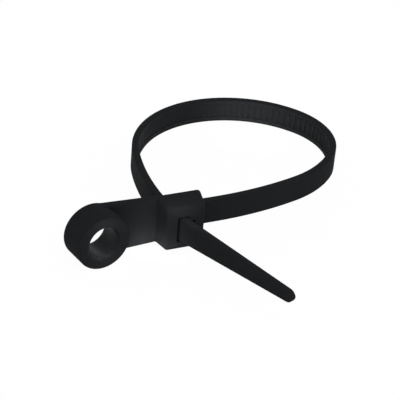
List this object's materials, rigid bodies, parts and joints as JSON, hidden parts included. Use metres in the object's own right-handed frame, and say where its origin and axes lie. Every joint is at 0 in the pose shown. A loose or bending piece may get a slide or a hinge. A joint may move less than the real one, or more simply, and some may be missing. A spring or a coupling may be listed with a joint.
{
  "type": "screw-mount cable tie",
  "caption": "Moulded cable tie closed into a loop: toothed strap through a block head with slot and pawl, tapered tail, and a flat tab that ends in a thick round screw eyelet.",
  "frame": {"origin": "middle of the screw hole, half way through the eyelet's thickness", "axes": "Y along the screw hole, with +Y out of its back face, on the loop's side, and -Y towards the tail; +Z across the strap's width; +X from the hole towards the head and the loop"},
  "size_m": [0.0664, 0.0657, 0.0108],
  "materials": {
    "nylon": "black moulded nylon with a soft, even gloss"
  },
  "bodies": {
    "root": {"cable_tie": "nylon"}
  },
  "joints": []
}
